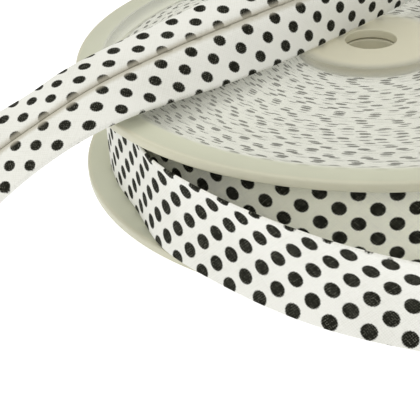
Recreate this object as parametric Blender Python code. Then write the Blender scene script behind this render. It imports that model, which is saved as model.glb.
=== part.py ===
"""Reel of folded bias binding: two frosted flanges on a hub, the winding and its loose tail.

The reel lies on its lower flange with its axis along Z, and Z = 0 is the surface it lies on.
The tail leaves the winding at the left, stands on its fold in front of the reel, loops round
the right-hand side, comes back over the upper flange and droops to a cut end at the left.
"""

import math
from collections import namedtuple

import bmesh
import bpy
import numpy as np
from mathutils import Vector

MM = 0.001

# Driving dimensions
FLANGE_RADIUS = 57.8 * MM
FLANGE_THICKNESS = 1.8 * MM
FLANGE_GAP = 18.7 * MM
FLANGE_EDGE_ROUND = 0.4 * MM
SPINDLE_RADIUS = 5.0 * MM
HUB_RADIUS = 13.5 * MM
HUB_WALL = 1.6 * MM
WINDING_RADIUS = 52.3 * MM
WINDING_EDGE_ROUND = 0.5 * MM
TAPE_WIDTH = 18.0 * MM
TAPE_THICKNESS = 1.0 * MM
CLEARANCE = 0.3 * MM

# Fineness of the meshes
ROUND_STEPS = 96
TAIL_STEPS = 120
TAIL_COLUMNS = 6

# Heights worked out from the driving dimensions
UPPER_FLANGE_BOTTOM = FLANGE_THICKNESS + FLANGE_GAP
WINDING_BOTTOM = FLANGE_THICKNESS + CLEARANCE

# A station of the tail: where its lower fold runs (x, y, z in mm), how far the lower and the
# upper half of its width lean outwards from upright (degrees), and over how many millimetres of
# the width it turns from the one lean to the other.
Station = namedtuple("Station", "x y z low_lean high_lean bend")
TAIL = (
    Station(-50.6, -16.4, 2.1, 0, 0, 6),
    Station(-47.0, -25.0, 2.1, 0, 0, 6),
    Station(-41.5, -34.5, 2.1, 0, 0, 6),
    Station(-35.5, -45.5, 2.1, -6, 4, 6),
    Station(-26.5, -54.0, 1.8, -10, 9, 6),
    Station(-16.5, -61.0, 1.4, -14, 16, 6),
    Station(-5.5, -66.5, 0.9, -17, 23, 6),
    Station(6.5, -70.0, 0.5, -20, 30, 6),
    Station(22.0, -72.5, 0.2, -20, 31, 6),
    Station(40.0, -71.0, 0.2, -18, 28, 6),
    Station(58.0, -63.0, 0.2, -16, 25, 6),
    Station(72.0, -49.0, 0.2, -14, 23, 6),
    Station(81.0, -30.0, 0.2, -13, 22, 6),
    Station(84.5, -8.0, 0.2, -13, 22, 6),
    Station(84.0, 16.0, 0.3, -13, 22, 6),
    Station(79.5, 38.0, 2.0, -13, 22, 6),
    Station(71.0, 56.0, 6.5, -12, 21, 5),
    Station(58.5, 69.0, 13.0, -11, 20, 5),
    Station(45.0, 70.3, 19.5, -10, 19, 4),
    Station(35.5, 60.0, 23.6, -9, 18, 4),
    Station(28.0, 49.0, 24.5, -8, 17, 4),
    Station(19.0, 36.0, 23.2, -8, 17, 3),
    Station(11.0, 24.5, 22.8, -7, 18, 3),
    Station(3.2, 13.2, 22.7, -6, 20, 3),
    Station(-4.0, 3.2, 22.7, 5, 34, 3),
    Station(-11.4, -6.7, 22.8, 19, 48, 2),
    Station(-19.3, -16.3, 22.9, 34, 60, 2),
    Station(-27.8, -26.0, 23.3, 49, 70, 2),
    Station(-36.3, -36.3, 24.4, 64, 78, 2),
    Station(-44.9, -45.3, 23.9, 74, 82, 2),
    Station(-54.0, -51.0, 19.5, 73, 76, 2),
    Station(-63.0, -56.3, 12.6, 68, 69, 2),
    Station(-69.5, -60.0, 6.6, 69, 70, 2),
    Station(-74.0, -62.5, 2.6, 77, 79, 2),
    Station(-77.1, -64.3, 1.0, 85, 87, 2),
)


def clear_scene():
    """Remove whatever the file holds."""
    for item in list(bpy.data.objects):
        bpy.data.objects.remove(item, do_unlink=True)


def make_material(name, colour, roughness, alpha=1.0):
    """A Principled material of one colour."""
    material = bpy.data.materials.new(name)
    material.use_nodes = True
    shader = material.node_tree.nodes["Principled BSDF"]
    shader.inputs["Base Color"].default_value = (*colour, 1.0)
    shader.inputs["Roughness"].default_value = roughness
    shader.inputs["Metallic"].default_value = 0.0
    shader.inputs["Alpha"].default_value = alpha
    return material


def add_object(name, mesh, material):
    """Put a mesh into the scene as an object with one material."""
    mesh.materials.append(material)
    item = bpy.data.objects.new(name, mesh)
    bpy.context.collection.objects.link(item)
    return item


def turned_solid(name, profile, material):
    """A closed profile of (radius, height) corners, turned once round the Z axis."""
    shape = bmesh.new()
    corners = [shape.verts.new((radius, 0.0, height)) for radius, height in profile]
    edges = [shape.edges.new(pair) for pair in zip(corners, corners[1:] + corners[:1])]
    bmesh.ops.spin(
        shape,
        geom=corners + edges,
        cent=(0.0, 0.0, 0.0),
        axis=(0.0, 0.0, 1.0),
        angle=2.0 * math.pi,
        steps=ROUND_STEPS,
        use_merge=True,
    )
    bmesh.ops.remove_doubles(shape, verts=shape.verts, dist=0.01 * MM)
    bmesh.ops.recalc_face_normals(shape, faces=shape.faces)
    mesh = bpy.data.meshes.new(name)
    shape.to_mesh(mesh)
    shape.free()
    mesh.shade_smooth()
    mesh.set_sharp_from_angle(angle=math.radians(40.0))
    return add_object(name, mesh, material)


def ring_profile(inner, outer, bottom, top, edge_round):
    """A flat ring or short tube in section, the two corners of its outside taken off."""
    return [
        (inner, bottom),
        (outer - edge_round, bottom),
        (outer, bottom + edge_round),
        (outer, top - edge_round),
        (outer - edge_round, top),
        (inner, top),
    ]


def hub_profile(bottom, top):
    """The hub in section: an outer wall and a spindle boss, joined by a web at the top."""
    boss_outside = SPINDLE_RADIUS + HUB_WALL
    wall_inside = HUB_RADIUS - HUB_WALL
    web_bottom = top - HUB_WALL
    return [
        (SPINDLE_RADIUS, bottom),
        (boss_outside, bottom),
        (boss_outside, web_bottom),
        (wall_inside, web_bottom),
        (wall_inside, bottom),
        (HUB_RADIUS, bottom),
        (HUB_RADIUS, top),
        (SPINDLE_RADIUS, top),
    ]


def spline_through(knots, values):
    """The second derivatives of the natural cubic spline through the values at the knots."""
    count = len(knots)
    step = np.diff(knots)
    system = np.eye(count)
    right = np.zeros(values.shape)
    for i in range(1, count - 1):
        system[i, i - 1:i + 2] = step[i - 1], 2.0 * (step[i - 1] + step[i]), step[i]
        slope_after = (values[i + 1] - values[i]) / step[i]
        slope_before = (values[i] - values[i - 1]) / step[i - 1]
        right[i] = 6.0 * (slope_after - slope_before)
    return np.linalg.solve(system, right)


def spline_at(knots, values, bends, where):
    """Values of the natural cubic spline at the places asked for."""
    span = np.clip(np.searchsorted(knots, where) - 1, 0, len(knots) - 2)
    width = (knots[span + 1] - knots[span])[:, None]
    after = (where - knots[span])[:, None] / width
    before = 1.0 - after
    straight = before * values[span] + after * values[span + 1]
    curl_before = (before ** 3 - before) * bends[span]
    curl_after = (after ** 3 - after) * bends[span + 1]
    return straight + (curl_before + curl_after) * width ** 2 / 6.0


def tail_rows():
    """The stations' columns at even steps along the tail's lower fold."""
    table = np.array(TAIL, dtype=float)
    table[:, :3] *= MM
    table[:, 3:5] = np.radians(table[:, 3:5])
    table[:, 5] *= MM
    gaps = np.linalg.norm(np.diff(table[:, :3], axis=0), axis=1)
    knots = np.concatenate(([0.0], np.cumsum(gaps)))
    bends = spline_through(knots, table)
    fine = np.linspace(0.0, knots[-1], 40 * len(TAIL))
    route = spline_at(knots, table, bends, fine)[:, :3]
    walked = np.concatenate(([0.0], np.cumsum(np.linalg.norm(np.diff(route, axis=0), axis=1))))
    even = np.interp(np.linspace(0.0, walked[-1], TAIL_STEPS + 1), walked, fine)
    return spline_at(knots, table, bends, even)


def tail_surface():
    """The middle surface of the tail, as rows of points from its lower to its upper fold.

    Across the width the tape's lean turns softly from that of the lower half to that of the
    upper half, so each row is the running sum of short steps in the leaning direction.
    """
    rows = tail_rows()
    route = rows[:, :3]
    ahead = np.gradient(route, axis=0)
    ahead /= np.linalg.norm(ahead, axis=1)[:, None]
    upright = np.array([0.0, 0.0, 1.0]) - ahead * ahead[:, 2:3]
    upright /= np.linalg.norm(upright, axis=1)[:, None]
    outward = np.cross(ahead, upright)
    step = TAPE_WIDTH / TAIL_COLUMNS
    middles = (np.arange(TAIL_COLUMNS) + 0.5) * step - TAPE_WIDTH / 2.0
    share = 0.5 + 0.5 * np.tanh(middles[None, :] / rows[:, 5:6])
    lean = rows[:, 3:4] + (rows[:, 4:5] - rows[:, 3:4]) * share
    steps = np.cos(lean)[..., None] * upright[:, None] + np.sin(lean)[..., None] * outward[:, None]
    across = np.concatenate((np.zeros((len(rows), 1, 3)), np.cumsum(steps * step, axis=1)), axis=1)
    return route[:, None] + across


def loose_tail(name, material):
    """The free length of tape: its middle surface, thickened equally to both sides."""
    surface = tail_surface()
    shape = bmesh.new()
    rows = [[shape.verts.new(Vector(point)) for point in row] for row in surface]
    for before, after in zip(rows, rows[1:]):
        for i in range(TAIL_COLUMNS):
            shape.faces.new((before[i], after[i], after[i + 1], before[i + 1]))
    mesh = bpy.data.meshes.new(name)
    shape.to_mesh(mesh)
    shape.free()
    mesh.shade_smooth()
    tail = add_object(name, mesh, material)
    thicken = tail.modifiers.new("Thickness", "SOLIDIFY")
    thicken.thickness = TAPE_THICKNESS
    thicken.offset = 0.0
    thicken.use_rim = True
    return tail


def build_reel():
    """Model every piece of the reel."""
    frosted = make_material("Frosted plastic", (0.76, 0.76, 0.69), 0.38, 0.6)
    wound = make_material("Wound cloth edges", (0.80, 0.80, 0.76), 0.9)
    cloth = make_material("White cotton", (0.88, 0.88, 0.86), 0.85)

    flange_heights = {"lower_flange": 0.0, "upper_flange": UPPER_FLANGE_BOTTOM}
    for name, bottom in flange_heights.items():
        disc = ring_profile(
            SPINDLE_RADIUS, FLANGE_RADIUS, bottom, bottom + FLANGE_THICKNESS, FLANGE_EDGE_ROUND
        )
        turned_solid(name, disc, frosted)
    hub = hub_profile(FLANGE_THICKNESS + CLEARANCE, UPPER_FLANGE_BOTTOM - CLEARANCE)
    turned_solid("hub_tube", hub, frosted)
    winding = ring_profile(
        HUB_RADIUS + CLEARANCE,
        WINDING_RADIUS,
        WINDING_BOTTOM,
        WINDING_BOTTOM + TAPE_WIDTH,
        WINDING_EDGE_ROUND,
    )
    turned_solid("wound_tape", winding, wound)
    loose_tail("loose_tape", cloth)


clear_scene()
build_reel()
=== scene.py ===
"""A reel of spotted cotton bias binding, dressed in a white studio.

The reel lies on its lower flange with its axis along Z. A free length of the folded tape leaves
the winding at the left, stands on its fold in front, loops round the right-hand side, comes back
over the upper flange with its turned-in sides up, and droops to a cut end at the left.
"""

import logging
import math
from dataclasses import dataclass
from enum import Enum
from typing import Any, NamedTuple, Union

import bpy
import numpy as np
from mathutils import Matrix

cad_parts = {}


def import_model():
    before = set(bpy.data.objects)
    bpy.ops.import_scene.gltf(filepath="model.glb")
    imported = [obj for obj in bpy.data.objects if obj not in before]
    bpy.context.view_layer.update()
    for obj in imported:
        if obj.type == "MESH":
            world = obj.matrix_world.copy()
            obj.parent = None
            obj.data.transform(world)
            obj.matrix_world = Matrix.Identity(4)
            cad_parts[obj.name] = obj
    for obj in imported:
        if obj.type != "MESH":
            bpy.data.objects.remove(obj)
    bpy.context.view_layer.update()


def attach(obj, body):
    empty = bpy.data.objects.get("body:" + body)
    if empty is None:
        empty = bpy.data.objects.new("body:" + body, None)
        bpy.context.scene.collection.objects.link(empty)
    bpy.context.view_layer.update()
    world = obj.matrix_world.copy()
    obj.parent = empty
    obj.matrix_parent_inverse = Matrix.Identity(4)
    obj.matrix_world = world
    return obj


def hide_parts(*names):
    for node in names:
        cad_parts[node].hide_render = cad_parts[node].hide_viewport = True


MM = 0.001
LOG = logging.getLogger("reel")
Value = Union[float, tuple, bpy.types.NodeSocket]

# What the wear map gives where no raw edge is near, so that no fray or painted shade shows there.
NO_RAW_EDGE = 9.0 * MM
UPPER_FLANGE_BOTTOM = 20.5 * MM


class Slot(Enum):
    """Names for three material slots."""

    PLASTIC = "frosted_plastic"
    WOUND = "wound_cloth"
    TAPE = "tape_cloth"


class Station(NamedTuple):
    """A place along the loose tape's lower fold, in mm and degrees.

    The lower and the upper half of the width lean outwards from upright by low_lean and
    high_lean, and the tape turns from the one to the other over bend.
    """

    x: float
    y: float
    z: float
    low_lean: float
    high_lean: float
    bend: float


# Six stations at the front and four over the upper flange are rounded from points that a fit to the
# photograph gave. The others are 0.8 mm or more from any of its points. The loop and the left end
# are guesses, because they are outside the view.
ROUTE = (
    Station(-50.6, -16.4, 2.1, 0, 0, 6),
    Station(-47.0, -25.0, 2.1, 0, 0, 6),
    Station(-41.5, -34.5, 2.1, 0, 0, 6),
    Station(-35.5, -45.5, 2.1, -6, 4, 6),
    Station(-26.5, -54.0, 1.8, -10, 9, 6),
    Station(-16.5, -61.0, 1.4, -14, 16, 6),
    Station(-5.5, -66.5, 0.9, -17, 23, 6),
    Station(6.5, -70.0, 0.5, -20, 30, 6),
    Station(22.0, -72.5, 0.2, -20, 31, 6),
    Station(40.0, -71.0, 0.2, -18, 28, 6),
    Station(58.0, -63.0, 0.2, -16, 25, 6),
    Station(72.0, -49.0, 0.2, -14, 23, 6),
    Station(81.0, -30.0, 0.2, -13, 22, 6),
    Station(84.5, -8.0, 0.2, -13, 22, 6),
    Station(84.0, 16.0, 0.3, -13, 22, 6),
    Station(79.5, 38.0, 2.0, -13, 22, 6),
    Station(71.0, 56.0, 6.5, -12, 21, 5),
    Station(58.5, 69.0, 13.0, -11, 20, 5),
    Station(45.0, 70.3, 19.5, -10, 19, 4),
    Station(35.5, 60.0, 23.6, -9, 18, 4),
    Station(28.0, 49.0, 24.5, -8, 17, 4),
    Station(19.0, 36.0, 23.2, -8, 17, 3),
    Station(11.0, 24.5, 22.8, -7, 18, 3),
    Station(3.2, 13.2, 22.7, -6, 20, 3),
    Station(-4.0, 3.2, 22.7, 5, 34, 3),
    Station(-11.4, -6.7, 22.8, 19, 48, 2),
    Station(-19.3, -16.3, 22.9, 34, 60, 2),
    Station(-27.8, -26.0, 23.3, 49, 70, 2),
    Station(-36.3, -36.3, 24.4, 64, 78, 2),
    Station(-44.9, -45.3, 23.9, 74, 82, 2),
    Station(-54.0, -51.0, 19.5, 73, 76, 2),
    Station(-63.0, -56.3, 12.6, 68, 69, 2),
    Station(-69.5, -60.0, 6.6, 69, 70, 2),
    Station(-74.0, -62.5, 2.6, 77, 79, 2),
    Station(-77.1, -64.3, 1.0, 85, 87, 2),
)


class PrintMark(NamedTuple):
    """How the cloth lies at a distance along the tape's middle, in mm.

    repeats counts the spots passed along a row, and edge is how far the lower fold has moved
    across from the route. rise is how far the row that is numbered nought has climbed above
    the lower fold, seam is where the raw edge of the upper turned-in side lies across the
    width, and pull and draw shift the print of that side along and across.
    """

    distance: float
    repeats: float
    edge: float
    rise: float
    seam: float
    pull: float
    draw: float


PRINT = (
    PrintMark(-340.0, -61.5, 0.5, -8.5, 9.2, 0.0, 0.0),
    PrintMark(-254.5, -47.5, 0.5, -7.2, 9.2, 0.0, 0.0),
    PrintMark(38.5, 0.0, 0.2, 0.4, 9.2, 0.0, 0.0),
    PrintMark(82.0, 7.0, 0.3, 1.55, 9.2, 0.0, 0.0),
    PrintMark(375.0, 55.0, 0.0, 7.85, 9.9, -0.5, -1.5),
    PrintMark(400.0, 59.0, 0.0, 8.45, 10.0, -0.5, -1.5),
    PrintMark(419.0, 62.0, 0.1, 8.75, 10.1, -1.1, -1.3),
    PrintMark(432.5, 64.0, 0.2, 9.05, 9.5, -1.4, -0.7),
    PrintMark(444.5, 66.0, 0.3, 9.35, 8.9, -0.4, -0.4),
    PrintMark(461.5, 69.0, 0.5, 9.7, 9.0, 0.0, -0.4),
    PrintMark(489.0, 73.4, 0.6, 10.3, 9.1, 0.0, -0.4),
)


@dataclass
class Wiring:
    """The node tree of one finish. Each method adds one node and gives back what it puts out."""

    tree: bpy.types.NodeTree

    def node(self, kind: str, **settings: Any) -> bpy.types.Node:
        """Add a node.

        Args:
            kind: Blender's name for the kind of node.
            settings: the node's own settings, by their names.

        Returns:
            The new node.
        """
        made = self.tree.nodes.new(kind)
        for name, value in settings.items():
            setattr(made, name, value)
        return made

    def feed(self, socket: bpy.types.NodeSocket, value: Value) -> None:
        """Join a socket to another, or give it a fixed value.

        Args:
            socket: the input that is fed.
            value: the output to join it to, or the value.
        """
        if isinstance(value, bpy.types.NodeSocket):
            self.tree.links.new(value, socket)
        else:
            socket.default_value = value

    def math(self, operation: str, *values: Value) -> bpy.types.NodeSocket:
        """One step of arithmetic.

        Args:
            operation: Blender's name for the step.
            values: up to three numbers or outputs.

        Returns:
            The result.
        """
        made = self.node("ShaderNodeMath", operation=operation)
        for socket, value in zip(made.inputs, values):
            self.feed(socket, value)
        return made.outputs[0]

    def ease(self, value: Value, low: Value, high: Value) -> bpy.types.NodeSocket:
        """A soft step from nought at low to one at high.

        Args:
            value: what is looked at.
            low: where the step is nought.
            high: where it is one, which may be less than low.

        Returns:
            The step's height.
        """
        made = self.node("ShaderNodeMapRange", interpolation_type="SMOOTHSTEP")
        for name, number in (("Value", value), ("From Min", low), ("From Max", high)):
            self.feed(made.inputs[name], number)
        return made.outputs["Result"]

    def blend(
        self, share: Value, first: Value, second: Value, kind: str = "MIX"
    ) -> bpy.types.NodeSocket:
        """A mix of two colours.

        Args:
            share: how much of the second colour there is.
            first: the colour where share is nought.
            second: the colour that is laid over it.
            kind: Blender's name for how it is laid over.

        Returns:
            The mixed colour.
        """
        made = self.node("ShaderNodeMix", data_type="RGBA", blend_type=kind)
        self.feed(made.inputs["Factor"], share)
        colours = [item for item in made.inputs if item.type == "RGBA"]
        for socket, value in zip(colours, (first, second)):
            self.feed(socket, value)
        return next(item for item in made.outputs if item.type == "RGBA")

    def tint(self, first: Value, second: Value) -> bpy.types.NodeSocket:
        """One colour multiplied by another."""
        return self.blend(1.0, first, second, "MULTIPLY")

    def noise(self, place: Value, scale: float, detail: float = 2.0) -> bpy.types.NodeSocket:
        """Soft cloudy noise from nought to one.

        Args:
            place: where it is read.
            scale: how many lumps there are to the metre.
            detail: how many finer layers lie over them.

        Returns:
            The noise's height.
        """
        made = self.node("ShaderNodeTexNoise")
        self.feed(made.inputs["Vector"], place)
        self.feed(made.inputs["Scale"], scale)
        self.feed(made.inputs["Detail"], detail)
        return made.outputs["Fac"]

    def bump(self, height: Value, depth: float, strength: float) -> bpy.types.NodeSocket:
        """A relief in the surface.

        Args:
            height: the relief's height, from nought to one.
            depth: what a height of one stands for, in metres.
            strength: how much of it shows.

        Returns:
            The direction that the surface then faces.
        """
        made = self.node("ShaderNodeBump")
        self.feed(made.inputs["Strength"], strength)
        self.feed(made.inputs["Distance"], depth)
        self.feed(made.inputs["Height"], height)
        return made.outputs["Normal"]


def new_finish(name: str) -> tuple[bpy.types.Material, Wiring, bpy.types.Node]:
    """Start a material.

    Args:
        name: what the material is called.

    Returns:
        The material, the wiring of its nodes and its main shader.
    """
    material = bpy.data.materials.new(name)
    material.use_nodes = True
    wiring = Wiring(material.node_tree)
    return material, wiring, material.node_tree.nodes["Principled BSDF"]


@dataclass(frozen=True)
class SpotPrint:
    """Round spots in staggered rows: each second row is moved along by half a repeat."""

    repeat: float = 6.15 * MM
    row_pitch: float = 2.74 * MM
    radius: float = 1.36 * MM

    def away(self, wiring: Wiring, along: Value, across: Value) -> bpy.types.NodeSocket:
        """The distance to the middle of the nearest spot.

        The cloth is cut into cells of one repeat by two rows. Each cell has a spot on its
        corners and one in its middle, so the answer is the less of the two distances.

        Args:
            wiring: the node tree that the steps go into.
            along: metres along the rows.
            across: metres across the rows.

        Returns:
            The distance in metres.
        """
        spans = ((along, self.repeat), (across, 2.0 * self.row_pitch))
        cells = [wiring.math("DIVIDE", value, span) for value, span in spans]
        distances = []
        for shift in (0.5, 0.0):
            moved = [wiring.math("FRACT", wiring.math("ADD", cell, shift)) for cell in cells]
            centred = [wiring.math("SUBTRACT", item, 0.5) for item in moved]
            sides = [wiring.math("MULTIPLY", centred[i], spans[i][1]) for i in (0, 1)]
            squares = [wiring.math("MULTIPLY", side, side) for side in sides]
            distances.append(wiring.math("SQRT", wiring.math("ADD", *squares)))
        return wiring.math("MINIMUM", *distances)


@dataclass(frozen=True)
class SpottedCotton:
    """Fine white cotton with charcoal spots, its threads running at 45 degrees to the tape.

    Two maps on a piece carry it: print, in metres along and across the printed cloth, and wear,
    whose numbers are the distance to the nearest raw edge and how much smaller the spots are.

    A spot's edge is ragged by how high the threads stand there. Pale flecks show in a spot where
    thick threads, gaps in the weave and a fine noise meet, each eased over its own two numbers.
    Near a raw edge the cloth goes over to the fray_shade_colour, which is partly real fraying that
    fades the print and partly painted shade of the hollow where the turned-in sides meet. All scales
    are lumps to the metre.
    """

    name: str
    spots: SpotPrint = SpotPrint()
    white: tuple = (0.86, 0.86, 0.82, 1.0)
    # The colour the white goes towards: painted shade where the weave sinks between threads, and the
    # cloth's own uneven tone where threads are thin and the clouds low.
    shade_and_uneven_tone: tuple = (0.76, 0.76, 0.71, 1.0)
    charcoal: tuple = (0.010, 0.010, 0.006, 1.0)
    faded: tuple = (0.2, 0.2, 0.165, 1.0)
    # Painted shade and real fraying near a raw edge: this beige stands for the frayed edge and for the
    # shade in the hollow where the turned-in sides meet.
    fray_shade_colour: tuple = (0.52, 0.49, 0.40, 1.0)
    fray_shade_width: float = 1.2 * MM
    fray_shade_full: float = 0.25 * MM
    fray_shade_wander: float = 0.5 * MM
    fray_shade_share: float = 0.8
    spot_blur: float = 0.13 * MM
    raggedness: float = 0.12 * MM
    thread_pitch: float = 0.37 * MM
    thread_middle: float = 0.6
    pillow: float = 0.35
    slub_length: float = 7.0
    slub_scale: float = 2600.0
    cloud_scale: float = 60.0
    weave_share: float = 0.35
    tone_range: tuple = (0.75, 1.35)
    fleck_slubs: tuple = (0.4, 0.58)
    fleck_gaps: tuple = (0.6, 0.05)
    fleck_noise: tuple = (0.4, 0.62)
    fleck_scale: float = 3800.0
    relief: float = 0.05 * MM
    relief_strength: float = 0.55
    slub_relief: float = 0.8
    roughness: float = 0.85
    shine: float = 0.12

    def threads(self, wiring: Wiring, along: Value, across: Value) -> bpy.types.NodeSocket:
        """The height of a plain weave on the bias, from nought to one.

        The two sets of threads run along the sum and the difference of the two distances. Each
        crossing is a small pillow, the product of a half wave across either thread, and is
        drawn out along the thread that lies on top there: that thread's half wave is raised to
        the power of pillow.

        Args:
            wiring: the node tree that the steps go into.
            along: metres along the printed cloth.
            across: metres across it.

        Returns:
            The weave's height.
        """
        side = math.sqrt(2.0) * self.thread_pitch / math.pi
        plus = wiring.math("DIVIDE", wiring.math("ADD", along, across), side)
        minus = wiring.math("DIVIDE", wiring.math("SUBTRACT", along, across), side)
        waves = [wiring.math("SINE", plus), wiring.math("SINE", minus)]
        over = wiring.math("GREATER_THAN", wiring.math("MULTIPLY", *waves), 0.0)
        first, second = [wiring.math("ABSOLUTE", wave) for wave in waves]
        drawn_first = wiring.math("MULTIPLY", wiring.math("POWER", first, self.pillow), second)
        drawn_second = wiring.math("MULTIPLY", first, wiring.math("POWER", second, self.pillow))
        gain = wiring.math("SUBTRACT", drawn_first, drawn_second)
        return wiring.math("MULTIPLY_ADD", over, gain, drawn_second)

    def slubs(self, wiring: Wiring, place: Value) -> bpy.types.NodeSocket:
        """Uneven threads: noise drawn out along either set of threads, averaged.

        Args:
            wiring: the node tree that the steps go into.
            place: where the cloth is read, on its print map.

        Returns:
            How thick the threads are, from nought to one.
        """
        parts = []
        for turn in (45.0, -45.0):
            mapping = wiring.node("ShaderNodeMapping", vector_type="TEXTURE")
            wiring.feed(mapping.inputs["Vector"], place)
            mapping.inputs["Rotation"].default_value = (0.0, 0.0, math.radians(turn))
            mapping.inputs["Scale"].default_value = (self.slub_length, 1.0, 1.0)
            parts.append(wiring.noise(mapping.outputs["Vector"], self.slub_scale, 2.0))
        return wiring.math("MULTIPLY", wiring.math("ADD", *parts), 0.5)

    def material(self) -> bpy.types.Material:
        """The finished cloth, read from the piece's own two maps.

        Returns:
            The material.
        """
        material, wiring, shader = new_finish(self.name)
        place = wiring.node("ShaderNodeUVMap", uv_map="print").outputs["UV"]
        axes = wiring.node("ShaderNodeSeparateXYZ")
        wiring.feed(axes.inputs["Vector"], place)
        along, across = axes.outputs["X"], axes.outputs["Y"]
        weave = self.threads(wiring, along, across)
        slubs = self.slubs(wiring, place)
        sunk = wiring.math("SUBTRACT", self.thread_middle, weave)
        ragged = wiring.math("MULTIPLY", sunk, self.raggedness)
        wear = wiring.node("ShaderNodeSeparateXYZ")
        wiring.feed(wear.inputs["Vector"], wiring.node("ShaderNodeUVMap", uv_map="wear").outputs["UV"])
        ragged = wiring.math("ADD", ragged, wear.outputs["Y"])
        reach = wiring.math("ADD", self.spots.away(wiring, along, across), ragged)
        spot_start = self.spots.radius - self.spot_blur
        spot_end = self.spots.radius + self.spot_blur
        outside = wiring.ease(reach, spot_start, spot_end)
        # Partly painted shade between the threads, where the weave sinks, and partly the cloth's own
        # uneven tone from thick and thin threads and cloudy patches.
        clouds = wiring.noise(place, self.cloud_scale, 1.0)
        uneven = wiring.math("ADD", slubs, clouds)
        tone = wiring.math("MULTIPLY_ADD", weave, self.weave_share, uneven)
        white = wiring.blend(wiring.ease(tone, *self.tone_range), self.shade_and_uneven_tone, self.white)
        thick = wiring.ease(slubs, *self.fleck_slubs)
        gaps = wiring.math("MULTIPLY", thick, wiring.ease(weave, *self.fleck_gaps))
        specks = wiring.ease(wiring.noise(place, self.fleck_scale, 1.0), *self.fleck_noise)
        flecks = wiring.math("MULTIPLY", gaps, specks)
        charcoal = wiring.blend(flecks, self.charcoal, self.faded)
        # Painted shade and fraying near a raw edge: the print goes over to the beige fray_shade_colour
        # there.
        inside = wiring.math("MULTIPLY_ADD", slubs, self.fray_shade_wander, wear.outputs["X"])
        fray_shade_mask = wiring.ease(inside, self.fray_shade_width + self.fray_shade_full, self.fray_shade_full)
        printed = wiring.blend(outside, charcoal, white)
        printed_with_fray_shade = wiring.blend(wiring.math("MULTIPLY", fray_shade_mask, self.fray_shade_share), printed, self.fray_shade_colour)
        wiring.feed(shader.inputs["Base Color"], printed_with_fray_shade)
        height = wiring.math("MULTIPLY_ADD", slubs, self.slub_relief, weave)
        facing = wiring.bump(height, self.relief, self.relief_strength)
        wiring.feed(shader.inputs["Normal"], facing)
        shader.inputs["Roughness"].default_value = self.roughness
        shader.inputs["Specular IOR Level"].default_value = self.shine
        return material


@dataclass(frozen=True)
class FrostedPlastic:
    """Milky see-through moulded plastic, a little warm in tone, with a soft shine.

    It is clearest over the winding, milkier in the rim, milky and warmer round the hub, and
    nearly solid to the eye in the rim's outer edge, where the light has to go through its whole
    depth. From flare_top down to flare_bottom, so through the upper flange, the start of the
    milky rim moves inwards by rim_flare, and below that it stays there. A cover is how much of
    what lies behind is hidden.
    """

    clear: tuple = (0.94, 0.95, 0.86, 1.0)
    milky: tuple = (0.66, 0.67, 0.525, 1.0)
    edge: tuple = (0.64, 0.625, 0.485, 1.0)
    hub: tuple = (0.80, 0.77, 0.60, 1.0)
    cloudy: tuple = (0.93, 0.93, 0.94, 1.0)
    clean: tuple = (1.0, 1.0, 1.0, 1.0)
    clear_cover: float = 0.17
    milky_cover: float = 0.84
    edge_cover: float = 0.92
    haze: float = 0.12
    hub_end: float = 13.8 * MM
    hub_blur: float = 2.0 * MM
    rim_start: float = 52.9 * MM
    rim_blur: float = 0.6 * MM
    rim_flare: float = 2.4 * MM
    flare_top: float = 22.2 * MM
    flare_bottom: float = 20.6 * MM
    edge_start: float = 57.1 * MM
    edge_blur_in: float = 0.25 * MM
    edge_blur_out: float = 0.2 * MM
    flow_scale: float = 35.0
    flow_range: tuple = (0.25, 0.75)
    grain_scale: float = 2200.0
    grain_depth: float = 0.02 * MM
    grain_strength: float = 0.35
    roughness: float = 0.34
    bending: float = 1.49

    def material(self) -> bpy.types.Material:
        """The finished plastic, with faint flow marks and a fine grain.

        Returns:
            The material.
        """
        material, wiring, shader = new_finish("frosted_plastic")
        place = wiring.node("ShaderNodeTexCoord").outputs["Object"]
        axes = wiring.node("ShaderNodeSeparateXYZ")
        wiring.feed(axes.inputs["Vector"], place)
        squares = [wiring.math("MULTIPLY", axes.outputs[i], axes.outputs[i]) for i in (0, 1)]
        radius = wiring.math("SQRT", wiring.math("ADD", *squares))
        flow = wiring.noise(place, self.flow_scale, 3.0)
        low = wiring.ease(axes.outputs["Z"], self.flare_top, self.flare_bottom)
        flared = wiring.math("MULTIPLY_ADD", low, self.rim_flare, radius)
        outer = wiring.ease(flared, self.rim_start - self.rim_blur, self.rim_start + self.rim_blur)
        inner = wiring.ease(radius, self.hub_end + self.hub_blur, self.hub_end - self.hub_blur)
        milky = wiring.math("MAXIMUM", outer, inner)
        edge_first = self.edge_start - self.edge_blur_in
        edge_last = self.edge_start + self.edge_blur_out
        edge = wiring.ease(radius, edge_first, edge_last)
        plate = wiring.blend(inner, wiring.blend(outer, self.clear, self.milky), self.hub)
        body = wiring.blend(edge, plate, self.edge)
        cloud = wiring.blend(wiring.ease(flow, *self.flow_range), self.cloudy, self.clean)
        wiring.feed(shader.inputs["Base Color"], wiring.tint(body, cloud))
        cover = wiring.math("MULTIPLY", milky, self.milky_cover - self.clear_cover)
        more = wiring.math("MULTIPLY_ADD", edge, self.edge_cover - self.milky_cover, cover)
        thinnest = self.clear_cover - self.haze / 2.0
        haze = wiring.math("MULTIPLY_ADD", flow, self.haze, thinnest)
        wiring.feed(shader.inputs["Alpha"], wiring.math("ADD", more, haze))
        grain = wiring.noise(place, self.grain_scale, 2.0)
        facing = wiring.bump(grain, self.grain_depth, self.grain_strength)
        wiring.feed(shader.inputs["Normal"], facing)
        shader.inputs["Roughness"].default_value = self.roughness
        shader.inputs["IOR"].default_value = self.bending
        return material


def unit(vectors: np.ndarray) -> np.ndarray:
    """Vectors brought to length one along their last axis."""
    return vectors / np.linalg.norm(vectors, axis=-1, keepdims=True)


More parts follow.
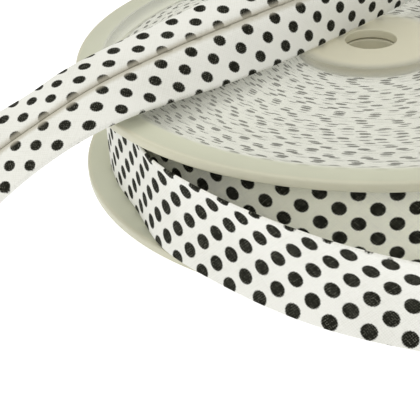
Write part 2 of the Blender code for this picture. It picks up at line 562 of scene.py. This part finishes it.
def grid_quads(rows: int, columns: int, round_rows: bool, round_columns: bool) -> np.ndarray:
    """The corner numbers of the four-sided faces of a grid of points.

    Args:
        rows: points down the grid.
        columns: points across it.
        round_rows: whether the last row joins the first.
        round_columns: whether the last column joins the first.

    Returns:
        One line of four numbers for each face.
    """
    down = np.arange(rows if round_rows else rows - 1)[:, None]
    over = np.arange(columns if round_columns else columns - 1)[None, :]
    below, beside = (down + 1) % rows, (over + 1) % columns
    corners = (
        down * columns + over,
        below * columns + over,
        below * columns + beside,
        down * columns + beside,
    )
    return np.stack(corners, axis=-1).reshape(-1, 4)


def enclosed(points: np.ndarray, quads: np.ndarray) -> float:
    """Six times the room inside a closed shell, less than nought where it is inside out.

    Each face is cut into two triangles, and each triangle's corners a, b and c add a . (b x c).

    Args:
        points: one row of x, y, z for each point.
        quads: one row of four corner numbers for each face.

    Returns:
        Six times the room.
    """
    a, b, c, d = (points[quads[:, i]] for i in range(4))
    first = np.einsum("ij,ij->", a, np.cross(b, c))
    second = np.einsum("ij,ij->", a, np.cross(c, d))
    return float(first + second)


def lay_mesh(name: str, points: np.ndarray, quads: np.ndarray) -> bpy.types.Object:
    """Put points and faces into a new smooth-shaded object at the origin.

    Args:
        name: what the piece is called.
        points: one row of x, y, z for each point.
        quads: one row of four corner numbers for each face.

    Returns:
        The new object.
    """
    mesh = bpy.data.meshes.new(name)
    mesh.vertices.add(len(points))
    mesh.vertices.foreach_set("co", points.astype(np.float32).ravel())
    mesh.loops.add(quads.size)
    mesh.loops.foreach_set("vertex_index", quads.astype(np.int32).ravel())
    mesh.polygons.add(len(quads))
    mesh.polygons.foreach_set("loop_start", np.arange(0, quads.size, 4, dtype=np.int32))
    mesh.update(calc_edges=True)
    mesh.validate()
    mesh.shade_smooth()
    item = bpy.data.objects.new(name, mesh)
    bpy.context.collection.objects.link(item)
    return item


def put_map(item: bpy.types.Object, name: str, places: np.ndarray) -> None:
    """Add a named map to a mesh.

    Args:
        item: the object.
        name: what the map is called.
        places: a pair of numbers for each corner of each face, in order.
    """
    layer = item.data.uv_layers.new(name=name)
    layer.data.foreach_set("uv", places.astype(np.float32).ravel())


def rounded_section(corners: np.ndarray, cuts: np.ndarray, steps: int = 5) -> np.ndarray:
    """A closed section with its corners rounded.

    Each corner is cut back by its own length along both its sides, and a quadratic curve that
    has the corner as its control point joins the two cuts. One more point beyond either cut, at
    1.7 of its length, keeps the flat sides flat in the shading.

    Args:
        corners: one row of radius and height for each corner.
        cuts: how far each corner is cut back.
        steps: points along each curve.

    Returns:
        The points of the rounded section.
    """
    back = unit(np.roll(corners, 1, axis=0) - corners) * cuts[:, None]
    ahead = unit(np.roll(corners, -1, axis=0) - corners) * cuts[:, None]
    t = np.linspace(0.0, 1.0, steps + 1)[None, :, None]
    curve = corners[:, None] + (1.0 - t) ** 2 * back[:, None] + t ** 2 * ahead[:, None]
    before = (corners + 1.7 * back)[:, None]
    after = (corners + 1.7 * ahead)[:, None]
    return np.concatenate((before, curve, after), axis=1).reshape(-1, 2)


def turned(name: str, section: np.ndarray, steps: int) -> bpy.types.Object:
    """Carry a closed section of radius and height once round the Z axis.

    Point (i, j) lies at angle a = 2 pi i / steps: x = r cos a, y = r sin a, z = h.

    Args:
        name: what the piece is called.
        section: rows of radius and height, or one such section for each angle.
        steps: sections round the turn.

    Returns:
        The new object, its faces turned outwards.
    """
    angle = np.linspace(0.0, 2.0 * math.pi, steps, endpoint=False)[:, None]
    radius = np.broadcast_to(section[..., 0], (steps, section.shape[-2]))
    height = np.broadcast_to(section[..., 1], radius.shape)
    points = np.stack((radius * np.cos(angle), radius * np.sin(angle), height), axis=-1)
    points = points.reshape(-1, 3)
    quads = grid_quads(steps, section.shape[-2], True, True)
    if enclosed(points, quads) < 0.0:
        quads = quads[:, ::-1]
    return lay_mesh(name, points, quads)


def settle(piece: bpy.types.Object, finish: bpy.types.Material, node: str) -> None:
    """Dress a piece, make it stand for a node of the frame and report it.

    Args:
        piece: the finished object.
        finish: its material.
        node: the node that it replaces.
    """
    piece.data.materials.append(finish)
    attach(piece, "root")
    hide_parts(node)
    LOG.info("%s: %d points in place of %s", piece.name, len(piece.data.vertices), node)


@dataclass
class Flange:
    """One moulded disc of the reel, its edges rounded, with a hole for the spindle."""

    name: str
    node: str
    bottom: float
    thickness: float = 1.8 * MM
    outside: float = 57.8 * MM
    spindle: float = 5.0 * MM
    edge_round: float = 0.5 * MM
    bore_round: float = 0.3 * MM
    steps: int = 288

    def build(self, finish: bpy.types.Material) -> bpy.types.Object:
        """Turn the disc and dress it.

        Args:
            finish: the reel's plastic.

        Returns:
            The finished piece.
        """
        top = self.bottom + self.thickness
        corners = (
            (self.spindle, self.bottom),
            (self.outside, self.bottom),
            (self.outside, top),
            (self.spindle, top),
        )
        cuts = (self.bore_round, self.edge_round, self.edge_round, self.bore_round)
        disc = turned(self.name, rounded_section(np.array(corners), np.array(cuts)), self.steps)
        settle(disc, finish, self.node)
        return disc


@dataclass
class Hub:
    """The moulded core between the flanges: an outer wall and a spindle boss under one web."""

    bottom: float = 2.1 * MM
    top: float = 20.2 * MM
    outside: float = 13.5 * MM
    spindle: float = 5.0 * MM
    wall: float = 1.6 * MM
    corner_round: float = 0.3 * MM
    steps: int = 128

    def build(self, finish: bpy.types.Material) -> bpy.types.Object:
        """Turn the hub and dress it.

        Args:
            finish: the reel's plastic.

        Returns:
            The finished piece.
        """
        boss = self.spindle + self.wall
        inside = self.outside - self.wall
        web = self.top - self.wall
        corners = np.array(
            (
                (self.spindle, self.bottom),
                (boss, self.bottom),
                (boss, web),
                (inside, web),
                (inside, self.bottom),
                (self.outside, self.bottom),
                (self.outside, self.top),
                (self.spindle, self.top),
            )
        )
        cuts = np.full(len(corners), self.corner_round)
        hub = turned("reel_hub", rounded_section(corners, cuts, 4), self.steps)
        settle(hub, finish, "hub_tube")
        return hub


@dataclass
class Winding:
    """The wound tape: many turns, whose printed folds make ridged faces above and below."""

    bottom: float = 2.1 * MM
    top: float = 20.4 * MM
    inside: float = 13.8 * MM
    outside: float = 51.7 * MM
    turns: int = 40
    fold_depth: float = 0.30 * MM
    fold_reach: float = 75.0
    fold_columns: int = 5
    unevenness: float = 0.14 * MM
    dip_waves: tuple = (2, 5, 9)
    wander: float = 0.16 * MM
    print_spread: float = 2.1
    slip: float = 3.0 * MM
    smaller: float = 0.3 * MM
    shear: float = 0.023
    steps: int = 240

    def face(self, level: float, inward: float) -> tuple[np.ndarray, np.ndarray]:
        """One ridged face, from the hub outwards.

        A turn's fold is part of an ellipse: at angle q from its crest it lies sin(q) times half
        a turn aside and (1 - cos(q)) times the fold's depth below, for q up to fold_reach
        degrees either way. Each turn also dips by the mean of three slow waves round the reel,
        whose phases are random, and wanders by the sum of sin(4 a + 0.15 n) and
        0.6 sin(9 a + 0.3 n), over 1.6, at angle a for turn number n. The print runs on from
        turn to turn, each of which starts a random slip further than the sum of the circles
        before it. Across the fold it goes print_spread turns' widths to the radian of q, and it
        slants along the tape by the shear.

        Args:
            level: the height that the highest crests reach.
            inward: -1 for a face that looks up, 1 for one that looks down.

        Returns:
            Radius and height of each ring at each angle, and the print map likewise.
        """
        turn = (self.outside - self.inside) / self.turns
        number = np.arange(self.turns)[None, :, None]
        crest = self.inside + (number + 0.5) * turn
        bow = np.radians(np.linspace(-self.fold_reach, self.fold_reach, self.fold_columns))
        bow = bow[None, None, :]
        angle = np.linspace(0.0, 2.0 * math.pi, self.steps + 1)[:, None, None]
        waves = len(self.dip_waves)
        phase = np.random.default_rng(3).uniform(0.0, 2.0 * math.pi, (waves, 1, self.turns, 1))
        pairs = zip(self.dip_waves, phase)
        dips = sum(np.sin(count * angle + shift) for count, shift in pairs) / waves
        drift = np.sin(4.0 * angle + 0.15 * number) + 0.6 * np.sin(9.0 * angle + 0.3 * number)
        radius = crest + self.wander * drift / 1.6 + 0.5 * turn * np.sin(bow)
        depth = self.unevenness * (1.0 + dips) + self.fold_depth * (1.0 - np.cos(bow))
        height = level + inward * depth + 0.0 * radius
        slips = np.cumsum(np.random.default_rng(5).uniform(0.0, self.slip, self.turns))
        before = 2.0 * math.pi * (np.cumsum(crest) - crest.ravel()) + slips
        before = before[None, :, None]
        along = before + crest * angle + 0.0 * bow
        across = self.print_spread * turn * bow - self.shear * along
        rings = (self.steps + 1, -1, 2)
        section = np.stack((radius + 0.0 * bow, height), axis=-1).reshape(rings)
        return section, np.stack((along, across), axis=-1).reshape(rings)

    def build(self, finish: bpy.types.Material) -> bpy.types.Object:
        """Turn the winding and dress it.

        Args:
            finish: the printed cloth.

        Returns:
            The finished piece.
        """
        upper, upper_print = self.face(self.top, -1.0)
        lower, lower_print = self.face(self.bottom, 1.0)
        section = np.concatenate((upper, lower[:, ::-1]), axis=1)
        printed = np.concatenate((upper_print, lower_print[:, ::-1]), axis=1)
        body = turned("wound_turns", section[:-1], self.steps)
        corners = grid_quads(self.steps + 1, printed.shape[1], False, True)
        if tuple(body.data.polygons[0].vertices)[0] != 0:
            corners = corners[:, ::-1]
        printed = printed.reshape(-1, 2)[corners.ravel()]
        put_map(body, "print", printed)
        put_map(body, "wear", np.broadcast_to((NO_RAW_EDGE, self.smaller), printed.shape))
        settle(body, finish, "wound_tape")
        return body


def spline_rows(knots: np.ndarray, values: np.ndarray, where: np.ndarray) -> np.ndarray:
    """The natural cubic spline through rows of values.

    The second derivatives solve the usual band of equations, nought at both ends. Between two
    knots the value is the straight mix of its neighbours plus the mix of their second
    derivatives by (s cubed - s), times the square of the gap over six.

    Args:
        knots: where the rows lie, rising.
        values: one row for each knot.
        where: the places asked for.

    Returns:
        One row for each place.
    """
    gap = np.diff(knots)
    slope = np.diff(values, axis=0) / gap[:, None]
    ends = np.zeros((1, values.shape[1]))
    right = np.concatenate((ends, 6.0 * np.diff(slope, axis=0), ends))
    middle = np.concatenate(([1.0], 2.0 * (gap[:-1] + gap[1:]), [1.0]))
    after = np.concatenate(([0.0], gap[1:]))
    before = np.concatenate((gap[:-1], [0.0]))
    system = np.diag(middle) + np.diag(after, 1) + np.diag(before, -1)
    curl = np.linalg.solve(system, right)
    span = np.clip(np.searchsorted(knots, where) - 1, 0, len(knots) - 2)
    s = ((where - knots[span]) / gap[span])[:, None]
    straight = (1.0 - s) * values[span] + s * values[span + 1]
    bent = ((1.0 - s) ** 3 - (1.0 - s)) * curl[span] + (s ** 3 - s) * curl[span + 1]
    return straight + bent * gap[span][:, None] ** 2 / 6.0


def walked(points: np.ndarray) -> np.ndarray:
    """The distance walked to each point of a line."""
    steps = np.linalg.norm(np.diff(points, axis=0), axis=1)
    return np.concatenate(([0.0], np.cumsum(steps)))


def soft_step(value: np.ndarray) -> np.ndarray:
    """Nought below nought, one above one, and 3 v squared - 2 v cubed between."""
    held = np.clip(value, 0.0, 1.0)
    return held * held * (3.0 - 2.0 * held)


class Change(NamedTuple):
    """A soft change along the tape: where it starts to rise, or has fallen, and how long it is."""

    place: float
    length: float

    def rising(self, distance: np.ndarray) -> np.ndarray:
        """From nought at the place to one a length further on."""
        return soft_step((distance - self.place) / self.length)

    def falling(self, distance: np.ndarray) -> np.ndarray:
        """From one a length before the place to nought at the place."""
        return soft_step((self.place - distance) / self.length)


@dataclass
class Tape:
    """The folded tape: its last wound turn and the loose length that goes on from it.

    The tape's middle surface is carried along the lower fold's route. Round it lies the cloth's
    own section: a face on the outer side, a fold at either edge, and two turned-in sides that
    meet behind the face.

    Where the loose length has just left the winding, its upper fold curls outwards over
    curl_width, by up to curl degrees, and its print is spread across the width by stretch.
    Further on it springs open, its section moves from the inner to the outer side of the
    route's surface, and its spots get smaller. They are a little smaller on the wound turn too.
    """

    width: float = 17.1 * MM
    cloth: float = 0.2 * MM
    fold_radius: float = 0.17 * MM
    open_radius: float = 0.36 * MM
    wound_radius: float = 52.2 * MM
    wound_bend: float = 6.0 * MM
    wound_steps: int = 320
    overlap: float = 0.12
    leaving: float = 0.52
    creep: float = 0.45 * MM
    lower_swell: float = 0.30 * MM
    upper_swell: float = 0.55 * MM
    upper_rest: float = 0.2 * MM
    swell_peak: float = 0.535
    tuck: float = 0.3 * MM
    lap: float = 0.05 * MM
    lap_blend: float = 0.5 * MM
    # Painted shade and fraying: how much further in they reach on the lower side.
    lower_fray_shade: float = 0.75 * MM
    curl: float = 22.0
    curl_width: float = 4.5 * MM
    stretch: float = 0.032
    shear: float = 0.023
    wound_smaller: float = 0.08 * MM
    loose_smaller: float = 0.24 * MM
    off_winding: Change = Change(12.0 * MM, 20.0 * MM)
    curl_ends: Change = Change(68.0 * MM, 25.0 * MM)
    stretch_ends: Change = Change(112.0 * MM, 20.0 * MM)
    springs_open: Change = Change(110.0 * MM, 120.0 * MM)
    turns_over: Change = Change(150.0 * MM, 150.0 * MM)
    wound_spots: Change = Change(10.0 * MM, 20.0 * MM)
    loose_spots: Change = Change(120.0 * MM, 150.0 * MM)
    row_gap: float = 1.1 * MM
    close_steps: int = 1400
    side_points: int = 19
    fold_points: int = 9
    face_points: int = 24
    fine: int = 72

    def fold_size(self, open_up: np.ndarray) -> np.ndarray:
        """The folds' radius where the tape has sprung open so far."""
        return self.fold_radius + (self.open_radius - self.fold_radius) * open_up

    def wound_rows(self, leave: np.ndarray) -> np.ndarray:
        """The route of the last wound turn, up to where the loose length leaves it.

        The radius creeps out from under the turn's own end, where the two overlap, stays even
        for most of the turn, and over the leaving angle grows by the square of the angle until
        it meets the loose length.

        Args:
            leave: the first point of the loose length's lower fold.

        Returns:
            Rows of x, y, z, low lean, high lean and bend.
        """
        end = math.atan2(leave[1], leave[0])
        turn = np.linspace(-2.0 * math.pi - self.overlap, 0.0, self.wound_steps + 1)[:-1]
        away = np.hypot(leave[0], leave[1]) - self.wound_radius
        growth = away * np.clip((turn + self.leaving) / self.leaving, 0.0, 1.0) ** 2
        covered = soft_step((-2.0 * math.pi + self.overlap - turn) / (2.0 * self.overlap))
        creep = self.creep * covered
        radius = self.wound_radius + growth - creep
        angle = end + turn
        still = np.zeros_like(turn)
        level = np.full_like(turn, leave[2])
        bend = np.full_like(turn, self.wound_bend)
        columns = (radius * np.cos(angle), radius * np.sin(angle), level, still, still, bend)
        return np.stack(columns, axis=1)

    def loose_rows(self) -> np.ndarray:
        """The route of the loose length, at even steps along its lower fold.

        Returns:
            Rows of x, y, z, low lean, high lean and bend, in metres and radians.
        """
        table = np.array(ROUTE, dtype=float)
        table[:, (0, 1, 2, 5)] *= MM
        table[:, 3:5] = np.radians(table[:, 3:5])
        knots = walked(table[:, :3])
        close = np.linspace(0.0, knots[-1], self.close_steps)
        path = walked(spline_rows(knots, table, close)[:, :3])
        count = int(round(path[-1] / self.row_gap))
        even = np.interp(np.linspace(0.0, path[-1], count + 1), path, close)
        return spline_rows(knots, table, even)

    def section(self, seam: np.ndarray, open_up: np.ndarray) -> tuple[np.ndarray, ...]:
        """The cloth's section at every row of the route.

        The face runs straight between the folds, which are half circles. Behind it the two
        turned-in sides swell and sink again to their raw edges. The lower one's ends tuck short
        of the seam while the tape is pressed flat and as far past it, under the upper one, once
        it is open. A side's swell is share (1 - share to the fourth), brought to one at its
        highest, and the upper raw edge rests a little higher by the cube of its share and by
        the lap. The lower side counts as lower_fray_shade nearer to its raw edge than it is, so its
        fraying and the painted shade of the hollow where the sides meet reach further in.

        Args:
            seam: how far the upper raw edge lies from the lower fold, for each row.
            open_up: from nought, pressed flat, to one, springing open, for each row.

        Returns:
            For each row and column: the place across the width, how far in front of the middle
            surface, the place across the unfolded cloth, and the distance to the raw edge.
        """
        open_up = open_up[:, None]
        fold = self.fold_size(open_up)
        width = self.width

        def swell(share: np.ndarray) -> np.ndarray:
            """The height of a turned-in side at a share of its way from the fold."""
            return share * (1.0 - share ** 4) / self.swell_peak

        share = np.linspace(1.0, 0.0, self.side_points)[None, :-1]
        past = 2.0 * self.tuck * open_up - self.tuck
        reach = seam[:, None] + past - fold
        low = fold + share * reach
        low_front = -fold - self.lower_swell * open_up * swell(share)
        low_raw = (1.0 - share) * reach - self.lower_fray_shade
        turn = np.linspace(math.pi, 0.0, self.fold_points)[None, :]
        bow = fold * (1.0 - np.sin(turn))
        bow_front = fold * np.cos(turn)
        bow_cloth = fold * (1.0 - 2.0 * turn / math.pi)
        over = np.linspace(0.0, 1.0, self.face_points)[None, 1:-1]
        face = fold + (width - 2.0 * fold) * over
        share = np.linspace(0.0, 1.0, self.side_points)[None, 1:]
        reach = width - seam[:, None] - fold
        high = fold + share * reach
        lifted = self.upper_swell * swell(share) + self.upper_rest * share ** 3
        high_front = -fold - open_up * lifted
        high_front = high_front - self.lap * share
        high_raw = (1.0 - share) * reach
        away = NO_RAW_EDGE
        place = (low, bow, face, width - bow[:, ::-1], width - high)
        front = (low_front, bow_front, face * 0.0 + fold, bow_front[:, ::-1], high_front)
        cloth = (-low, bow_cloth, face, width - bow_cloth[:, ::-1], width + high)
        raw = (low_raw, bow * 0.0 + away, face * 0.0 + away, bow * 0.0 + away, high_raw)
        return tuple(np.concatenate(parts, axis=1) for parts in (place, front, cloth, raw))

    def shape(self) -> tuple[np.ndarray, np.ndarray, np.ndarray, int]:
        """The cloth's points and print map along the whole route.

        Ahead is the route's direction, upright is the vertical made square to it, and outward
        is ahead crossed with upright. A row is the running sum of short steps across the
        width, each cos(lean) upright + sin(lean) outward, where the lean turns by a hyperbolic
        tangent from the lower half's to the upper half's, and the curl adds to it by the square
        of how far into the last curl_width a place lies. The front is square to each step.

        Returns:
            Points and both maps, rows by columns, and the row at which the loose length starts.
        """
        loose = self.loose_rows()
        wound = self.wound_rows(loose[0])
        rows = np.concatenate((wound, loose))
        start = len(wound)
        route = rows[:, :3]
        ahead = unit(np.gradient(route, axis=0))
        upright = unit(np.array((0.0, 0.0, 1.0)) - ahead * ahead[:, 2:3])
        outward = np.cross(ahead, upright)
        step = self.width / self.fine
        edges = np.arange(self.fine + 1) * step
        middles = edges[:-1] + step / 2.0

        first = walked(route)
        first -= first[start]
        started = self.off_winding.rising(first)
        curling = started * self.curl_ends.falling(first)
        stretched = started * self.stretch_ends.falling(first)

        def lean(place: np.ndarray) -> np.ndarray:
            """How far the tape leans outwards.

            Args:
                place: places across its width, for each row or for all rows alike.

            Returns:
                The lean in radians at each of them.
            """
            share = 0.5 + 0.5 * np.tanh((place - self.width / 2.0) / rows[:, 5:6])
            last = np.clip((place - self.width) / self.curl_width + 1.0, 0.0, 1.0) ** 2
            bow = math.radians(self.curl) * curling[:, None] * last
            return rows[:, 3:4] + (rows[:, 4:5] - rows[:, 3:4]) * share + bow

        def tilted(up: np.ndarray, out: np.ndarray) -> np.ndarray:
            """A direction of so much upright and so much outward, for every row and column."""
            return up[..., None] * upright[:, None] + out[..., None] * outward[:, None]

        angle = lean(middles[None, :])
        across = np.cumsum(tilted(np.cos(angle), np.sin(angle)) * step, axis=1)
        across = np.concatenate((np.zeros((len(rows), 1, 3)), across), axis=1)
        distance = walked(route + across[:, self.fine // 2])
        distance -= distance[start]
        marks = np.array(PRINT)
        read = [np.interp(distance / MM, marks[:, 0], marks[:, i]) for i in range(1, 7)]
        repeats, edge, rise, seam, pull, draw = read
        open_up = self.springs_open.rising(distance)
        turned_over = 2.0 * self.turns_over.rising(distance) - 1.0
        place, front, cloth, raw = self.section((seam - edge) * MM, open_up)
        front = front + (self.fold_size(open_up) * turned_over)[:, None]
        place = place + edge[:, None] * MM
        cell = np.clip((place / step).astype(int), 0, self.fine - 1)
        part = (place / step - cell)[..., None]
        line = np.arange(len(rows))[:, None]
        middle = route[:, None] + (1.0 - part) * across[line, cell] + part * across[line, cell + 1]
        angle = lean(place)
        points = middle + front[..., None] * tilted(-np.sin(angle), np.cos(angle))
        spots = SpotPrint()
        upper = soft_step((cloth - self.width) / self.lap_blend)
        along = repeats[:, None] * spots.repeat + self.shear * cloth - upper * pull[:, None] * MM
        spread = 1.0 - self.stretch * stretched[:, None]
        over = cloth * spread - rise[:, None] * MM - upper * draw[:, None] * MM
        smaller = self.wound_smaller * self.wound_spots.falling(distance)
        smaller = smaller + self.loose_smaller * self.loose_spots.rising(distance)
        smaller = smaller[:, None] + 0.0 * raw
        maps = (np.stack((along, over), axis=-1), np.stack((raw, smaller), axis=-1))
        return (points, *maps, start)

    def piece(self, name: str, points: np.ndarray, maps: dict) -> bpy.types.Object:
        """Lay one length of cloth as a mesh with its maps and thickness.

        Args:
            name: what the piece is called.
            points: rows by columns of x, y, z.
            maps: rows by columns of each map, by its name.

        Returns:
            The new object, its printed face on the outside of the reel.
        """
        rows, columns = points.shape[:2]
        quads = grid_quads(rows, columns, False, False)
        item = lay_mesh(name, points.reshape(-1, 3), quads)
        for title, values in maps.items():
            put_map(item, title, values.reshape(-1, 2)[quads.ravel()])
        thick = item.modifiers.new("cloth_thickness", "SOLIDIFY")
        thick.thickness = self.cloth
        thick.offset = 0.0
        return item

    def build(self, finish: bpy.types.Material, inner: bpy.types.Material) -> None:
        """Args:
            finish: the cloth of the loose length.
            inner: the same cloth paler and warmer, for the turn between the flanges; the change is
                painted warm light, standing in for light through the yellowish plastic and lifting the
                shade under the upper flange.
        """
        points, printed, wear, start = self.shape()
        wound = slice(0, start + 1)
        loose = slice(start, None)
        turn = self.piece("outer_turn", points[wound], {"print": printed[wound], "wear": wear[wound]})
        settle(turn, inner, "wound_tape")
        tail = self.piece("loose_length", points[loose], {"print": printed[loose], "wear": wear[loose]})
        settle(tail, finish, "loose_tape")


class SoftLight(NamedTuple):
    """A square soft light that faces the reel: its place and side in metres, its power in watts."""

    name: str
    place: tuple
    size: float
    power: float


@dataclass
class Studio:
    """The camera, a seamless white floor, two soft lights and an even pale sky.

    The camera's place, its three angles and its lens are what the fit to the photograph gave.
    """

    place: tuple = (0.0, -0.19946, 0.10171)
    down: float = 30.502
    swing: float = 9.703
    tilt: float = -3.775
    lens: float = 91.86
    sensor: float = 36.0
    nearest: float = 0.01
    floor_size: float = 6.0
    floor_drop: float = 0.1 * MM
    floor_shades: tuple = ((0.33, 0.33, 0.33, 1.0), (0.36, 0.36, 0.36, 1.0))
    floor_clouds: float = 2.0
    floor_roughness: float = 0.9
    floor_glow: float = 0.9
    lights: tuple = (
        SoftLight("key_light", (-0.3, 0.2, 0.7), 0.8, 2.7),
        SoftLight("front_light", (-0.05, -0.8, 0.6), 0.3, 1.5),
    )
    light_colour: tuple = (1.0, 1.0, 0.99)
    sky_colour: tuple = (1.0, 0.99, 0.93, 1.0)
    sky_strength: float = 0.6

    def camera(self) -> bpy.types.Object:
        """Set the camera where the picture was taken from.

        It looks down from the level and to the left of straight back, and is turned a little
        about its own line of sight.

        Returns:
            The camera.
        """
        drop, swing, tilt = (math.radians(item) for item in (self.down, self.swing, self.tilt))
        sight = np.array(
            (-math.sin(swing) * math.cos(drop), math.cos(swing) * math.cos(drop), -math.sin(drop))
        )
        level = unit(np.cross(sight, (0.0, 0.0, 1.0)))
        rising = np.cross(level, sight)
        right = math.cos(tilt) * level + math.sin(tilt) * rising
        up = math.cos(tilt) * rising - math.sin(tilt) * level
        lens = bpy.data.cameras.new("camera")
        lens.lens = self.lens
        lens.sensor_width = self.sensor
        lens.clip_start = self.nearest
        item = bpy.data.objects.new("camera", lens)
        pose = np.eye(4)
        pose[:3, 0] = right
        pose[:3, 1] = up
        pose[:3, 2] = -sight
        pose[:3, 3] = self.place
        item.matrix_world = pose.T.tolist()
        bpy.context.collection.objects.link(item)
        bpy.context.scene.camera = item
        return item

    def floor(self) -> bpy.types.Object:
        """A wide white floor just under the reel, which gives off an even light of its own.

        Returns:
            The floor.
        """
        half = self.floor_size / 2.0
        side = np.linspace(-half, half, 3)
        x, y = np.meshgrid(side, side, indexing="ij")
        points = np.stack((x, y, np.full_like(x, -self.floor_drop)), axis=-1).reshape(-1, 3)
        item = lay_mesh("floor", points, grid_quads(3, 3, False, False))
        material, wiring, shader = new_finish("white_floor")
        place = wiring.node("ShaderNodeTexCoord").outputs["Object"]
        clouds = wiring.noise(place, self.floor_clouds, 1.0)
        colour = wiring.blend(clouds, *self.floor_shades)
        wiring.feed(shader.inputs["Base Color"], colour)
        shader.inputs["Roughness"].default_value = self.floor_roughness
        shader.inputs["Emission Color"].default_value = (1.0, 1.0, 1.0, 1.0)
        shader.inputs["Emission Strength"].default_value = self.floor_glow
        item.data.materials.append(material)
        return item

    def hang(self, light: SoftLight) -> None:
        """Hang one soft light so that it faces the reel.

        Args:
            light: its name, place, size and power.
        """
        lamp = bpy.data.lights.new(light.name, "AREA")
        lamp.shape = "SQUARE"
        lamp.size = light.size
        lamp.energy = light.power
        lamp.color = self.light_colour
        item = bpy.data.objects.new(light.name, lamp)
        away = unit(np.array(light.place))
        side = unit(np.cross((0.0, 0.0, 1.0), away))
        pose = np.eye(4)
        pose[:3, 0] = side
        pose[:3, 1] = np.cross(away, side)
        pose[:3, 2] = away
        pose[:3, 3] = light.place
        item.matrix_world = pose.T.tolist()
        bpy.context.collection.objects.link(item)

    def build(self) -> None:
        """Put up the camera, the floor, the lights and the sky."""
        self.camera()
        self.floor()
        for light in self.lights:
            self.hang(light)
        world = bpy.data.worlds.new("white_room")
        bpy.context.scene.world = world
        world.use_nodes = True
        sky = world.node_tree.nodes["Background"]
        sky.inputs["Color"].default_value = self.sky_colour
        sky.inputs["Strength"].default_value = self.sky_strength
        bpy.context.scene.view_settings.view_transform = "Standard"


def main() -> None:
    """Load the frame and build the reel's pieces in order."""
    logging.basicConfig(level=logging.INFO, format="%(message)s")
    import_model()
    Studio().build()
    plastic = FrostedPlastic().material()
    Flange(name="reel_lower_flange", node="lower_flange", bottom=0.0).build(plastic)
    Hub().build(plastic)
    cotton = SpottedCotton(name="spotted_cotton")
    # Painted light: a brighter copy of the cloth for the winding, making up for the light that the
    # plastic's cover holds back.
    wound = SpottedCotton(
        name="wound_cotton_brightened",
        white=(0.94, 0.94, 0.90, 1.0),
        shade_and_uneven_tone=(0.88, 0.88, 0.83, 1.0),
        charcoal=(0.01, 0.01, 0.006, 1.0),
        faded=(0.03, 0.03, 0.02, 1.0),
    )
    Winding().build(wound.material())
    upper = Flange(name="reel_upper_flange", node="upper_flange", bottom=UPPER_FLANGE_BOTTOM)
    upper.build(plastic)
    # Painted warm light: a paler, warmer copy of the cloth for the turn between the flanges, in place
    # of the warm light through the plastic and against the shade under the upper flange.
    inner = SpottedCotton(name="inner_cotton_warm_light", white=(0.92, 0.92, 0.79, 1.0))
    Tape().build(cotton.material(), inner.material())
    LOG.info("boxes written")


if __name__ == "__main__":
    main()
